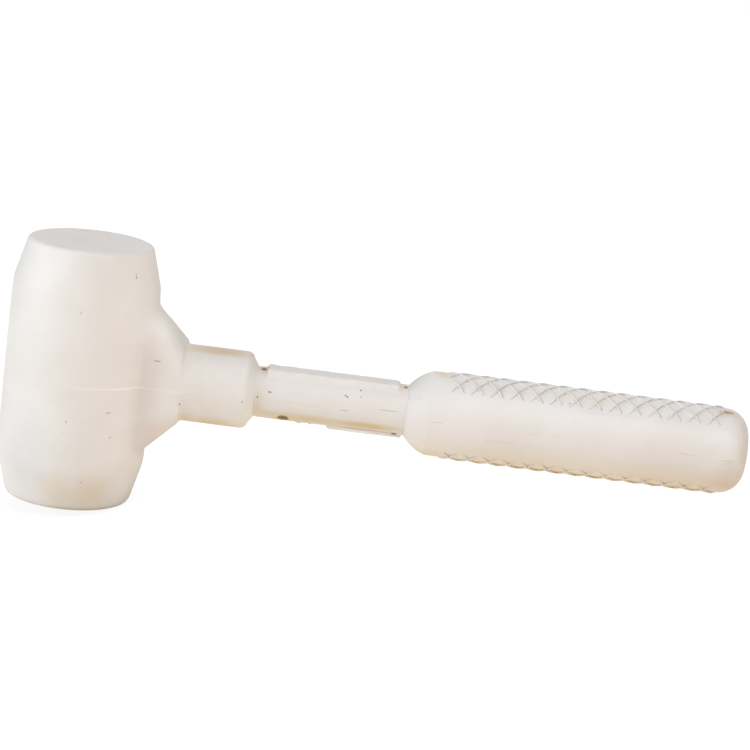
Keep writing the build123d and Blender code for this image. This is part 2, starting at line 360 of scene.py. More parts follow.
class Surface:
    """A node material that is built up step by step around one shader."""

    def __init__(self, name):
        self.material = bpy.data.materials.new(name)
        self.material.use_nodes = True
        self.tree = self.material.node_tree
        self.shader = self.tree.nodes["Principled BSDF"]
        self.place = self.node("ShaderNodeTexCoord").outputs["Object"]

    def node(self, kind, **values):
        """Adds a node and sets its own values."""
        made = self.tree.nodes.new(kind)
        for key, value in values.items():
            setattr(made, key, value)
        return made

    def link(self, output, target):
        """Links an output to an input."""
        self.tree.links.new(output, target)

    def noise(self, scale, detail=3.0, roughness=0.5, stretch=(1, 1, 1)):
        """Noise on object coordinates, with a stretch for each axis."""
        mapping = self.node("ShaderNodeMapping")
        mapping.inputs["Scale"].default_value = stretch
        self.link(self.place, mapping.inputs["Vector"])
        made = self.node("ShaderNodeTexNoise")
        made.inputs["Scale"].default_value = scale
        made.inputs["Detail"].default_value = detail
        made.inputs["Roughness"].default_value = roughness
        self.link(mapping.outputs["Vector"], made.inputs["Vector"])
        return made.outputs["Fac"]

    def range(self, value, low, high, new_low=0.0, new_high=1.0):
        """Maps a value from one range to another, and stops at its ends."""
        made = self.node("ShaderNodeMapRange", interpolation_type="SMOOTHSTEP")
        for key, number in zip(("From Min", "From Max", "To Min", "To Max"), (low, high, new_low, new_high)):
            made.inputs[key].default_value = number
        self.link(value, made.inputs["Value"])
        return made.outputs["Result"]

    def mix(self, share, first, second):
        """Mixes two colours, each a tuple or an output."""
        made = self.node("ShaderNodeMix", data_type="RGBA")
        self.link(share, made.inputs["Factor"])
        for socket, value in zip(made.inputs[MIX_COLOURS], (first, second)):
            if isinstance(value, bpy.types.NodeSocket):
                self.link(value, socket)
            else:
                socket.default_value = (*value, 1)
        return made.outputs[MIX_RESULT]

    def math(self, operation, first, second):
        """Works out a value from two others, each a number or an output."""
        made = self.node("ShaderNodeMath", operation=operation)
        for socket, value in zip(made.inputs, (first, second)):
            if isinstance(value, bpy.types.NodeSocket):
                self.link(value, socket)
            else:
                socket.default_value = value
        return made.outputs["Value"]

    def near(self, centre, radii, core):
        """1 within the core of an ellipsoid, falling to 0 at its radii."""
        offset = self.node("ShaderNodeVectorMath", operation="SUBTRACT")
        self.link(self.place, offset.inputs[0])
        offset.inputs[1].default_value = centre
        scaled = self.node("ShaderNodeVectorMath", operation="DIVIDE")
        self.link(offset.outputs["Vector"], scaled.inputs[0])
        scaled.inputs[1].default_value = radii
        distance = self.node("ShaderNodeVectorMath", operation="LENGTH")
        self.link(scaled.outputs["Vector"], distance.inputs[0])
        return self.range(distance.outputs["Value"], core, 1, 1, 0)

    def strongest(self, areas, core, blotches):
        """The strongest of many areas, each a centre, radii and strength, broken up by blotches."""
        total = 0.0
        for centre, radii, strength in areas:
            area = self.math("MULTIPLY", self.near(centre, radii, core), strength)
            total = self.math("MAXIMUM", total, area)
        return self.math("MULTIPLY", total, blotches)

    def bump(self, height, distance, strength=1.0):
        """Adds a bump on top of the bumps that are already there."""
        made = self.node("ShaderNodeBump")
        made.inputs["Distance"].default_value = distance
        made.inputs["Strength"].default_value = strength
        self.link(height, made.inputs["Height"])
        normal = self.shader.inputs["Normal"]
        if normal.is_linked:
            self.link(normal.links[0].from_socket, made.inputs["Normal"])
        self.link(made.outputs["Normal"], normal)


# Noise scales of the rubber, from its soft swells to its grain, and then of the steel
SWELL_SCALE = 30
MOTTLE_SCALE = 34
SCUFF_SCALE = 90
SPECK_SCALE = 105
BLOTCH_SCALE = 120
GRIME_SCALE = 160
RAGGED_SCALE = 900
GRAIN_SCALE = 1500
STEEL_STAIN_SCALE = 60
STEEL_GRAIN_SCALE = 500
SCUFF_DARKNESS = 0.86
STEEL_STAIN_DARKNESS = 0.62
SPECK_STRENGTH = 0.4


def rubber(name, marks, tints, scuffing, grime=None):
    """Satin off-white moulded rubber with mottling, scuffs, specks and dark marks.

    Tints gives the areas that each colour covers: real stains, and painted warm shade, painted cool shade,
    painted highlights and pinkish painted shade with a faint streak. The marks include a painted shadow line
    in a crease, and the last argument names the vertex attribute that marks grime and painted shadow beside
    the grip's ribs.
    """
    colours = bpy.context.scene.mallet_colours
    surface = Surface(name)
    mottle = surface.range(surface.noise(MOTTLE_SCALE, detail=4), 0.38, 0.66)
    base = surface.mix(mottle, tuple(colours.rubber), tuple(colours.rubber_shade))
    scuffs = surface.noise(SCUFF_SCALE, detail=5, roughness=0.65, stretch=(0.25, 3, 3))
    worn = surface.math("MULTIPLY", surface.range(scuffs, 0.58, 0.72), scuffing)
    base = surface.mix(worn, base, tuple(channel * SCUFF_DARKNESS for channel in colours.rubber_shade))
    blotches = surface.range(surface.noise(BLOTCH_SCALE, detail=4, stretch=(0.4, 1, 1)), 0.2, 0.6, 0.6, 1)
    for tint, tinted in tints.items():
        base = surface.mix(surface.strongest(tinted, 0.1, blotches), base, tuple(getattr(colours, tint)))
    # Grime and painted shadow on one flank of the grip's ribs, read from a vertex attribute.
    if grime:
        grime_and_shadow_attribute = surface.node("ShaderNodeAttribute", attribute_name=grime)
        patchy = surface.range(surface.noise(GRIME_SCALE, detail=3), 0.3, 0.62, 0.3, 1)
        share = surface.math("MULTIPLY", grime_and_shadow_attribute.outputs["Fac"], patchy)
        base = surface.mix(share, base, tuple(colours.grime))
    speck = surface.node("ShaderNodeTexVoronoi")
    speck.inputs["Scale"].default_value = SPECK_SCALE
    surface.link(surface.place, speck.inputs["Vector"])
    few = surface.range(speck.outputs["Color"], 0.80, 0.82)
    small = surface.range(speck.outputs["Distance"], 0.012, 0.045, 1, 0)
    specks = surface.math("MULTIPLY", surface.math("MULTIPLY", few, small), SPECK_STRENGTH)
    ragged = surface.range(surface.noise(RAGGED_SCALE, detail=2), 0.2, 0.5, 0.75, 1)
    dark = surface.math("MAXIMUM", specks, surface.strongest(marks, 0.5, ragged))
    surface.link(surface.mix(dark, base, tuple(colours.pore_and_crease_shadow)), surface.shader.inputs["Base Color"])
    surface.link(surface.range(scuffs, 0.3, 0.75, 0.44, 0.62), surface.shader.inputs["Roughness"])
    surface.bump(surface.noise(SWELL_SCALE, detail=2), 0.25 * MM, 0.5)
    surface.bump(scuffs, 0.05 * MM, 0.6)
    surface.bump(surface.noise(GRAIN_SCALE, detail=2), 0.02 * MM, 0.6)
    surface.shader.inputs["Subsurface Weight"].default_value = 0.12
    surface.shader.inputs["Subsurface Radius"].default_value = (1.0, 0.72, 0.5)
    surface.shader.inputs["Subsurface Scale"].default_value = 4 * MM
    surface.shader.inputs["Specular IOR Level"].default_value = 0.4
    return surface.material


def steel(name, tint, grain_stretch, roughness):
    """Steel with drawn or turned grain, stains and a slightly uneven sheen."""
    surface = Surface(name)
    stain = surface.range(surface.noise(STEEL_STAIN_SCALE, detail=5, roughness=0.6), 0.35, 0.7)
    dark = tuple(channel * STEEL_STAIN_DARKNESS for channel in tint)
    surface.link(surface.mix(stain, tuple(tint), dark), surface.shader.inputs["Base Color"])
    grain = surface.noise(STEEL_GRAIN_SCALE, detail=4, stretch=grain_stretch)
    sheen = surface.range(grain, 0.3, 0.7, roughness - 0.08, roughness + 0.14)
    surface.link(sheen, surface.shader.inputs["Roughness"])
    surface.bump(grain, 0.03 * MM, 0.5)
    surface.shader.inputs["Metallic"].default_value = 1
    return surface.material


def finish_nodes(material, *nodes):
    """Gives CAD nodes their finish."""
    for node in nodes:
        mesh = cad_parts[node].data
        mesh.materials.clear()
        mesh.materials.append(material)


# Operators


class MALLET_OT_head_cover(bpy.types.Operator):
    """Model the barrel head, its web and the collar as one moulded cover"""

    bl_idname = "mallet.head_cover"
    bl_label = "Head Cover"

    def execute(self, context):
        sizes = context.scene.mallet_sizes
        bm = bmesh.new()
        self.add_barrel(bm, sizes)
        self.add_web(bm, sizes)
        self.add_collar(bm, sizes)
        skin = fused(bm, HEAD_VOXEL, HEAD_SOFTENING)
        self.blend_web_root(skin, sizes)
        raise_parting_line(skin, sizes.parting_line)
        on_barrel = partial(self.barrel_place, sizes)
        pores = [(on_barrel(turn, height), radius * MM) for turn, height, radius in HEAD_PORES]
        press_pores(skin, pores)
        cover = hollowed(skin, self.inserts())
        marks = [(centre, (radius * PORE_DARK_SHARE,) * 3, PORE_STRENGTH) for centre, radius in pores]
        marks += areas(on_barrel, BARREL_MARKS) + areas(handle_place, COLLAR_MARKS)
        # Tints: a real stain on the collar's top, painted warm shade under the head, collar and web, painted
        # shade in the web's root, painted cool shade low on the left and painted highlights.
        tints = {
            "stain": areas(on_barrel, BARREL_WARM_SHADE) + areas(handle_place, COLLAR_STAINS_AND_WARM_SHADE),
            "soil_and_shade": areas(handle_place, WEB_ROOT_SHADE),
            "cool_shade": areas(on_barrel, BARREL_COOL_SHADE),
            "painted_highlight": areas(handle_place, HEAD_HIGHLIGHTS),
        }
        material = rubber("head_rubber", marks, tints, HEAD_SCUFFING)
        piece("head_cover_skin", cover, "mallet", material, "head_cover")
        return {"FINISHED"}

    def add_barrel(self, bm, sizes):
        """Adds the barrel head with its tapered ends and soft creases."""
        rise = HANDLE_HEIGHT - sizes.taper
        heights = [0] + [sizes.taper + rise * step / BELLY_STEPS for step in range(BELLY_STEPS + 1)]
        half = [Vector((0, 0, 0))]
        half += [Vector((self.radius_at(sizes, height), 0, height)) for height in heights]
        other_half = [Vector((point.x, 0, HEAD_HIGH.z - point.z)) for point in reversed(half[:-1])]
        lathe(bm, half + other_half, HEAD_AXIS)
        top = HEAD_HIGH.z
        round_ring(bm, sizes.face_radius, 0, sizes.lower_rim_rounding, 6)
        round_ring(bm, sizes.face_radius, top, sizes.rim_rounding, 6)
        round_ring(bm, sizes.shoulder_radius, sizes.taper, sizes.shoulder_rounding, 4)
        round_ring(bm, sizes.shoulder_radius, top - sizes.taper, sizes.shoulder_rounding, 4)

    def add_web(self, bm, sizes):
        """Adds the web, as wide as the collar, that grows towards the head above and below."""
        reach = sizes.collar_start - TUBE_HIGH.x
        box = bmesh.ops.create_cube(bm, size=2)["verts"]
        for vert in box:
            at_head = vert.co.x < 0
            height = sizes.collar_radius + (reach if at_head else 0)
            vert.co = Vector((
                TUBE_HIGH.x if at_head else sizes.collar_start,
                vert.co.y * sizes.collar_radius,
                HANDLE_HEIGHT + vert.co.z * height,
            ))
        slopes = [edge for edge in bm.edges if edge.verts[0] in box and length_along_x(edge) > SAME_PLACE]
        bevel(bm, slopes, sizes.web_corner, 10)

    def add_collar(self, bm, sizes):
        """Adds the round collar with its rounded edge, and the short cone that closes it onto the neck."""
        edge, end, radius = sizes.collar_edge, sizes.collar_end, sizes.collar_radius
        outline = handle_outline(
            (0, 0),
            (0, radius),
            (end - edge, radius),
            (end - edge * 0.3, radius - edge * 0.2),
            (end + edge * 0.3, radius - edge * 0.8),
            (end + edge * 0.6, radius - edge * 1.5),
            (HEAD_HIGH.x, sizes.neck_radius),
            (HEAD_HIGH.x, 0),
        )
        lathe(bm, outline, HANDLE_AXIS)

    def blend_web_root(self, bm, sizes):
        """Softens the root of the web, where it grows out of the barrel, and its upper part more."""
        height = sizes.collar_radius + (sizes.collar_start - BELLY_RADIUS) + ROOT_SPARE_ABOVE
        root = [
            vert
            for vert in bm.verts
            if abs(vert.co.xy.length - BELLY_RADIUS) < ROOT_REACH
            and vert.co.x > 0
            and abs(vert.co.y) < sizes.collar_radius + ROOT_SPARE_BESIDE
            and abs(vert.co.z - HANDLE_HEIGHT) < height
        ]
        upper = [vert for vert in root if vert.co.z > HANDLE_HEIGHT + sizes.collar_radius]
        smooth(bm, root, ROOT_SOFTENING)
        smooth(bm, upper, UPPER_ROOT_SOFTENING)

    def inserts(self):
        """The canister, sleeve, weld and core as one tool to cut their room."""
        bm = bmesh.new()
        low, high, radius = TUBE_LOW.z, TUBE_HIGH.z, TUBE_HIGH.x
        canister = [Vector((x, 0, z)) for x, z in ((0, low), (radius, low), (radius, high), (0, high))]
        lathe(bm, canister, HEAD_AXIS)
        outline = handle_outline(
            (0, 0),
            (0, WELD_RADIUS),
            (radius, WELD_RADIUS),
            (WELD_HIGH.x, SLEEVE_RADIUS),
            (SLEEVE_HIGH.x, SLEEVE_RADIUS),
            (SLEEVE_HIGH.x, CORE_RADIUS),
            (HEAD_HIGH.x + CUT_SPARE, CORE_RADIUS),
            (HEAD_HIGH.x + CUT_SPARE, 0),
        )
        lathe(bm, outline, HANDLE_AXIS)
        return bm

    def barrel_place(self, sizes, turn, height):
        """Place on the barrel, from its turn in degrees from the front and its height in millimetres."""
        reach = self.radius_at(sizes, height * MM)
        angle = math.radians(turn)
        return Vector((reach * math.sin(angle), -reach * math.cos(angle), height * MM))

    def radius_at(self, sizes, height):
        """Radius of the barrel at a height over its lower face."""
        depth = min(height, HEAD_HIGH.z - height)
        if depth < sizes.taper:
            return sizes.face_radius + (sizes.shoulder_radius - sizes.face_radius) * depth / sizes.taper
        rise = (depth - sizes.taper) / (HANDLE_HEIGHT - sizes.taper)
        return sizes.shoulder_radius + (BELLY_RADIUS - sizes.shoulder_radius) * math.sin(rise * math.pi / 2)


BELLY_STEPS = 8
HEAD_VOXEL = 0.62 * MM
HEAD_SOFTENING = 3
ROOT_SOFTENING = 9
UPPER_ROOT_SOFTENING = 45
ROOT_REACH = 5 * MM
ROOT_SPARE_ABOVE = 8 * MM
ROOT_SPARE_BESIDE = 3 * MM
HEAD_SCUFFING = 0.1
PORE_DARK_SHARE = 0.85
PORE_STRENGTH = 0.9
# Pores on the head: degrees round from the front, height over the lower face and radius in millimetres
HEAD_PORES = (
    (51, 99, 0.6),
    (35, 89, 0.6),
    (4, 83, 0.6),
    (1, 38, 0.6),
    (37, 32.3, 0.6),
    (17, 13, 0.55),
    (36, 18.6, 0.4),
    (140, 70, 0.55),
    (196, 31, 0.55),
    (232, 88, 0.55),
    (-78, 60, 0.45),
)
# The rows below each hold a spot, the radii along each axis in metres and how strong the area is.
# On the barrel the spot is degrees round from the front and the height over the lower face in millimetres.
BARREL_MARKS = (
    ((33, 42.9), (0.0016, 0.0012, 0.0003), 0.55),
    ((50, 98), (0.0004, 0.0005, 0.0013), 0.6),
)
# Painted warm shade low on the front of the barrel and its lower rim, near the floor.
BARREL_WARM_SHADE = (
    ((-2, 8), (0.014, 0.012, 0.0115), 0.22),
    ((26, 8), (0.016, 0.012, 0.0115), 0.3),
    ((20, 0), (0.026, 0.024, 0.004), 0.4),
)
# Painted cool shade, darker towards the bottom on the left of the barrel.
BARREL_COOL_SHADE = (((-30, 22), (0.02, 0.02, 0.026), 0.3),)
# On the web and the collar the spot is x, y and the rise over the handle's axis, in millimetres.
COLLAR_MARKS = (
    ((68.6, -15.7, -1.6), (0.0004, 0.0006, 0.0007), 0.5),
    ((43.6, -14.6, -5.9), (0.0005, 0.001, 0.0005), 0.9),
    ((33, -15.8, 10.9), (0.0018, 0.001, 0.00027), 0.65),
)
# A real stain along the collar's top, and painted warm shade under the collar and the web's lower end.
COLLAR_STAINS_AND_WARM_SHADE = (
    ((57, -4, 15.3), (0.022, 0.014, 0.0015), 0.65),
    ((58, -2.2, -15.6), (0.017, 0.018, 0.0098), 1),
    ((47, -9, -13.5), (0.008, 0.01, 0.006), 0.4),
)
# Painted shade: a band in the crease where the web grows out of the barrel, and a patch under the web's root.
WEB_ROOT_SHADE = (
    ((28.5, -15.8, -2), (0.01, 0.008, 0.034), 0.2),
    ((31, -13, -19), (0.016, 0.012, 0.014), 0.28),
)
# Painted highlights: along the parting line on the barrel and the web, on the web's upper slope and the
# barrel beside it, and low on the barrel's right.
HEAD_HIGHLIGHTS = (
    ((20, -26, -1), (0.028, 0.03, 0.0008), 0.8),
    ((40, -15.8, -1), (0.01, 0.004, 0.0007), 0.6),
    ((35, -8, 26), (0.01, 0.02, 0.013), 0.9),
    ((24, -20, 28), (0.022, 0.02, 0.036), 0.35),
    ((26, -14, -46), (0.014, 0.02, 0.013), 0.4),
)


class MALLET_OT_neck_cover(bpy.types.Operator):
    """Model the slim neck with its uneven flat lands and the core support mark"""

    bl_idname = "mallet.neck_cover"
    bl_label = "Neck Cover"

    def execute(self, context):
        sizes = context.scene.mallet_sizes
        bm = bmesh.new()
        lathe(bm, rod_outline(NECK_LOW.x - NECK_LAP, NECK_HIGH.x + NECK_LAP, sizes.neck_radius), HANDLE_AXIS)
        start = NECK_LOW.x + sizes.upper_land_gap
        self.add_land(bm, sizes, start, start + sizes.upper_land_length, 1)
        end = NECK_HIGH.x - sizes.lower_land_gap
        self.add_land(bm, sizes, end - sizes.lower_land_length, end, -1)
        self.add_flash(bm, sizes)
        skin = fused(bm, NECK_VOXEL, NECK_SOFTENING)
        raise_parting_line(skin, sizes.parting_line * NECK_PARTING_SHARE)
        cover = hollowed(skin, self.inserts(sizes))
        mouth = self.hole_place(sizes, sizes.neck_radius - HOLE_MARK_DEPTH)
        rim = sizes.support_hole_radius * HOLE_MARK_SPREAD
        on_neck = partial(self.neck_place, sizes)
        # The marks include a painted shadow line in the crease along the lower land.
        marks = [(mouth, (rim, rim, rim), 1)] + areas(on_neck, NECK_MARKS_AND_CREASE_SHADOW)
        # Tints: painted warm shade under the neck and a painted highlight along the lower land.
        tints = {"stain": areas(on_neck, NECK_STAINS_AND_WARM_SHADE), "painted_highlight": areas(handle_place, NECK_LAND_HIGHLIGHT)}
        material = rubber("neck_rubber", marks, tints, NECK_SCUFFING)
        piece("neck_cover_skin", cover, "mallet", material, "neck_cover")
        return {"FINISHED"}

    def neck_place(self, sizes, x, turn):
        """Place on the neck's skin, from its distance from the collar and its turn from the top."""
        return round_handle(NECK_LOW.x + x * MM, sizes.neck_radius, turn)

    def add_flash(self, bm, sizes):
        """Adds two bits of flash left under the neck."""
        for x, half_length in FLASH_BITS:
            stretch = Matrix.Diagonal((half_length * MM, FLASH_HALF_WIDTH, FLASH_HEIGHT, 1))
            bit = Matrix.Translation(self.neck_place(sizes, x, FLASH_TURN)) @ stretch
            bmesh.ops.create_icosphere(bm, subdivisions=2, radius=1, matrix=bit)

    def add_land(self, bm, sizes, start, end, side):
        """Adds a flat land on the top or the bottom, with wandering borders."""
        land = bmesh.new()
        half = (end - start) / 2
        for vert in bmesh.ops.create_cube(land, size=2)["verts"]:
            spread = UPPER_LAND_ROOT if side > 0 > vert.co.z else LAND_SPREAD
            height = sizes.neck_radius + (sizes.land_height if vert.co.z > 0 else -LAND_DEPTH)
            x = start + half + vert.co.x * half
            vert.co = Vector((x, vert.co.y * (sizes.land_width / 2 * spread), HANDLE_HEIGHT + side * height))
        long_edges = [edge for edge in land.edges if length_along_x(edge) > half]
        bmesh.ops.subdivide_edges(land, edges=long_edges, cuts=LAND_CUTS, use_grid_fill=True)
        for vert in land.verts:
            along = vert.co.x * 420
            vert.co.y *= 1 + LAND_WANDER * noise.noise((along, vert.co.y * 900, side * 7.0))
            vert.co.z += side * LAND_WAVE * noise.noise((along * 0.6, vert.co.y * 500, 3.1))
        bmesh.ops.recalc_face_normals(land, faces=land.faces)
        mesh = bpy.data.meshes.new("land")
        land.to_mesh(mesh)
        land.free()
        bm.from_mesh(mesh)
        bpy.data.meshes.remove(mesh)

    def hole_place(self, sizes, distance):
        """Point on the support hole's axis, at a distance from the handle's axis."""
        return Vector((NECK_LOW.x + sizes.support_hole_place, 0, HANDLE_HEIGHT)) + HOLE_DIRECTION * distance

    def inserts(self, sizes):
        """The core and the blind support hole as one tool to cut their room."""
        bm = bmesh.new()
        lathe(bm, rod_outline(NECK_LOW.x - CUT_SPARE, NECK_HIGH.x + CUT_SPARE, CORE_RADIUS), HANDLE_AXIS)
        turn = HOLE_DIRECTION.to_track_quat("Z", "X").to_matrix().to_4x4()
        depth = sizes.neck_radius
        middle = self.hole_place(sizes, CORE_RADIUS + HOLE_FLOOR + depth / 2)
        bmesh.ops.create_cone(
            bm,
            cap_ends=True,
            segments=32,
            radius1=sizes.support_hole_radius,
            radius2=sizes.support_hole_radius,
            depth=depth,
            matrix=Matrix.Translation(middle) @ turn,
        )
        return bm


NECK_VOXEL = 0.4 * MM
NECK_SOFTENING = 2
NECK_LAP = 0.8 * MM
NECK_SCUFFING = 0.3
NECK_PARTING_SHARE = 0.25
# The support hole leans from straight down towards the front, and its floor lies just over the core
HOLE_LEAN = math.radians(35)
HOLE_DIRECTION = Vector((0, -math.sin(HOLE_LEAN), -math.cos(HOLE_LEAN)))
HOLE_FLOOR = 0.3 * MM
HOLE_MARK_DEPTH = 1 * MM
HOLE_MARK_SPREAD = 1.15
LAND_CUTS = 48
LAND_DEPTH = 3 * MM
LAND_SPREAD = 1.03
UPPER_LAND_ROOT = 1.5
LAND_WANDER = 0.13
LAND_WAVE = 0.16 * MM
# Bits of flash: distance from the collar and half length, in millimetres
FLASH_BITS = ((18.8, 1.4), (23.5, 0.7))
FLASH_TURN = 172
FLASH_HALF_WIDTH = 0.8 * MM
FLASH_HEIGHT = 0.5 * MM
# The rows below each hold a spot, the radii along each axis in metres and how strong the area is.
# The spot is the distance from the collar in millimetres and degrees from the top towards the front, and for
# the painted highlight it is x, y and the rise over the handle's axis in millimetres.
NECK_MARKS_AND_CREASE_SHADOW = (
    ((2.4, 14), (0.0014, 0.0014, 0.0009), 0.9),
    ((60.6, 15), (0.001, 0.0012, 0.0007), 0.8),
    ((6.1, 75), (0.001, 0.0009, 0.0004), 0.7),
    ((1.4, 90), (0.0004, 0.0008, 0.0006), 0.8),
    ((36.7, 61), (0.0005, 0.0006, 0.0004), 0.8),
    ((37.5, 64), (0.0006, 0.0006, 0.0004), 0.8),
    ((42.6, 44), (0.0005, 0.0005, 0.0005), 0.9),
    ((43, 60), (0.0004, 0.0005, 0.0004), 0.5),
    # Painted shadow: a thin dark line in the crease along the lower land's front edge.
    ((46, 151), (0.0155, 0.0007, 0.00035), 0.5),
    ((58, 152), (0.0017, 0.0011, 0.0009), 0.8),
    ((37, 95), (0.003, 0.0006, 0.0002), 0.45),
    ((55, 83), (0.006, 0.0006, 0.0002), 0.4),
    ((15, 20), (0.005, 0.0004, 0.0003), 0.4),
    ((29, 16), (0.007, 0.0004, 0.0003), 0.4),
)
# Painted warm shade under the neck and low by the collar, and brownish patches on top at both ends of the
# neck.
NECK_STAINS_AND_WARM_SHADE = (
    ((24, 134), (0.055, 0.009, 0.0034), 0.5),
    ((46, 131), (0.022, 0.007, 0.003), 0.75),
    ((14, 165), (0.018, 0.011, 0.0042), 0.8),
    ((1, 120), (0.004, 0.01, 0.012), 0.35),
    ((2, 8), (0.004, 0.006, 0.003), 0.6),
    ((60, 8), (0.003, 0.005, 0.002), 0.5),
)
# Painted highlight along the front of the lower land.
NECK_LAND_HIGHLIGHT = (((119, -4.9, -10.3), (0.0165, 0.0009, 0.001), 0.7),)


class MALLET_OT_grip_cover(bpy.types.Operator):
    """Model the round-ended grip and the lattice of fine ribs along its top and bottom"""

    bl_idname = "mallet.grip_cover"
    bl_label = "Grip Cover"

    def execute(self, context):
        sizes = context.scene.mallet_sizes
        bm = bmesh.new()
        lathe(bm, self.outline(sizes), HANDLE_AXIS)
        cover = hollowed(bm, self.inserts())
        self.add_ribs(cover, sizes)
        on_grip = partial(self.grip_place, sizes)
        # Tints: painted warm shade under the grip, painted shade on its rounded end and a painted highlight
        # along its top.
        tints = {
            "stain": areas(on_grip, GRIP_STAINS_AND_WARM_SHADE),
            "soil_and_shade": areas(on_grip, GRIP_SOIL_AND_SHADE),
            "painted_highlight": areas(on_grip, GRIP_TOP_HIGHLIGHT),
        }
        material = rubber("grip_rubber", areas(on_grip, GRIP_MARKS), tints, GRIP_SCUFFING, GRIME_AND_SHADOW)
        piece("grip_cover_skin", cover, "mallet", material, "grip_cover")
        return {"FINISHED"}

    def grip_place(self, sizes, x, turn):
        """Place on the grip's skin, from its distance from the neck and its turn from the top."""
        return round_handle(GRIP_LOW.x + x * MM, sizes.grip_radius, turn)

    def outline(self, sizes):
        """Outline of the grip: a bulged shoulder, a straight side, a rounded end and a shallow dome."""
        start, end = GRIP_LOW.x, GRIP_HIGH.x
        rise = sizes.grip_radius - sizes.neck_radius
        slant = Vector((sizes.shoulder_length, rise)).normalized()
        places = [(start, 0)]
        for step in range(SHOULDER_STEPS + 1):
            share = step / SHOULDER_STEPS
            bulge = sizes.shoulder_bulge * 4 * share * (1 - share)
            x = start + sizes.shoulder_length * share - slant.y * bulge
            places.append((x, sizes.neck_radius + rise * share + slant.x * bulge))
        rounding = sizes.end_rounding
        round_start = end - sizes.end_dome - rounding
        inner = sizes.grip_radius - rounding
        for step in range(ROUNDING_STEPS + 1):
            angle = math.pi / 2 * step / ROUNDING_STEPS
            places.append((round_start + rounding * math.sin(angle), inner + rounding * math.cos(angle)))
        for step in range(1, DOME_STEPS + 1):
            left = 1 - step / DOME_STEPS
            places.append((end - sizes.end_dome * left**2, inner * left))
        return handle_outline(*places)

    def inserts(self):
        """The core, its washers and its end plug as one tool to cut their room."""
        bm = bmesh.new()
        start, end = GRIP_LOW.x - CUT_SPARE, PLUG_HIGH.x
        places = [(start, 0), (start, CORE_RADIUS)]
        for near in (WASHERS_LOW.x, WASHERS_HIGH.x - WASHER_THICKNESS):
            far = near + WASHER_THICKNESS
            places += [(near, CORE_RADIUS), (near, WASHER_RADIUS), (far, WASHER_RADIUS), (far, CORE_RADIUS)]
        places += [(end, CORE_RADIUS), (end, 0)]
        lathe(bm, handle_outline(*places), HANDLE_AXIS, INSERT_STEPS)
        return bm

    def add_ribs(self, bm, sizes):
        """Adds the crossing ribs, each draped over the grip's round top or bottom."""
        bm.verts.layers.float.new(GRIME_AND_SHADOW)
        bar = self.rib_bar(sizes)
        slope = math.tan(math.radians(RIB_ANGLE))
        low, high = GRIP_LOW.x + sizes.rib_start, GRIP_HIGH.x - sizes.rib_end_gap
        reach = sizes.rib_band / 2
        crossing = GRIP_LOW.x + sizes.rib_crossing - 2 * sizes.rib_pitch
        while crossing < high + reach / slope:
            for lean, grime in ((slope, RISING_RIB_GRIME_AND_SHADOW), (-slope, FALLING_RIB_GRIME_AND_SHADOW)):
                ends = sorted(max(-reach, min(reach, (x - crossing) * lean)) for x in (low, high))
                if ends[1] - ends[0] > sizes.rib_width:
                    first, last = (Vector((crossing + y / lean, y)) for y in ends)
                    self.drape_rib(bm, sizes, bar, first, last, 1, grime)
                    self.drape_rib(bm, sizes, bar, first, last, -1, grime * LOWER_RIB_GRIME_AND_SHADOW)
            crossing += sizes.rib_pitch
        bmesh.ops.recalc_face_normals(bm, faces=bm.faces)
        bpy.data.meshes.remove(bar)

    def rib_bar(self, sizes):
        """A straight rib of unit length with a rounded crest, cut across so that it can bend."""
        bm = bmesh.new()
        for vert in bmesh.ops.create_cube(bm, size=1)["verts"]:
            vert.co.y *= sizes.rib_width
            vert.co.z = (vert.co.z + 0.5) * (sizes.rib_height + RIB_ROOT)
        crests = [edge for edge in self.long_edges(bm) if all(vert.co.z > 0 for vert in edge.verts)]
        bevel(bm, crests, sizes.rib_width * RIB_CREST, 3)
        bmesh.ops.subdivide_edges(bm, edges=self.long_edges(bm), cuts=RIB_CUTS, use_grid_fill=True)
        mesh = bpy.data.meshes.new("rib_bar")
        bm.to_mesh(mesh)
        bm.free()
        return mesh

    def long_edges(self, bm):
        """The edges that run along the rib bar."""
        return [edge for edge in bm.edges if length_along_x(edge) > 0.5]

    def drape_rib(self, bm, sizes, bar, first, last, side, grime):
        """Lays a copy of the bar between two places, seen from above, on the top or the bottom of the grip.

        The rib sinks into the rubber at its ends, and the flank towards the grip's end is marked for grime
        and painted shadow.
        """
        known = len(bm.verts)
        bm.from_mesh(bar)
        bm.verts.ensure_lookup_table()
        grime_and_shadow_attribute = bm.verts.layers.float[GRIME_AND_SHADOW]
        middle = (first + last) / 2
        run = last - first
        across = Vector((-run.y, run.x)).normalized()
        for vert in bm.verts[known:]:
            # The flank towards the grip's end takes the grime and painted shadow.
            vert[grime_and_shadow_attribute] = grime if vert.co.y < -RIB_FLANK * sizes.rib_width else 0
            to_end = (0.5 - abs(vert.co.x)) * run.length
            proud = vert.co.z * min(1, RIB_END_SHARE + (1 - RIB_END_SHARE) * to_end / RIB_RAMP)
            flat = middle + run * vert.co.x + across * vert.co.y
            round_height = math.sqrt(sizes.grip_radius**2 - flat.y**2)
            out = 1 + (proud - RIB_ROOT) / sizes.grip_radius
            vert.co = Vector((flat.x, flat.y * out, HANDLE_HEIGHT + side * round_height * out))


SHOULDER_STEPS = 12
ROUNDING_STEPS = 16
DOME_STEPS = 4
INSERT_STEPS = 96
WASHER_THICKNESS = 3 * MM
GRIP_SCUFFING = 0.45
RIB_ANGLE = 48
RIB_CUTS = 14
RIB_ROOT = 0.5 * MM
RIB_CREST = 0.36
RIB_FLANK = 0.3
# A rib rises out of the rubber over a ramp, from this share of its height
RIB_RAMP = 2.5 * MM
RIB_END_SHARE = 0.45
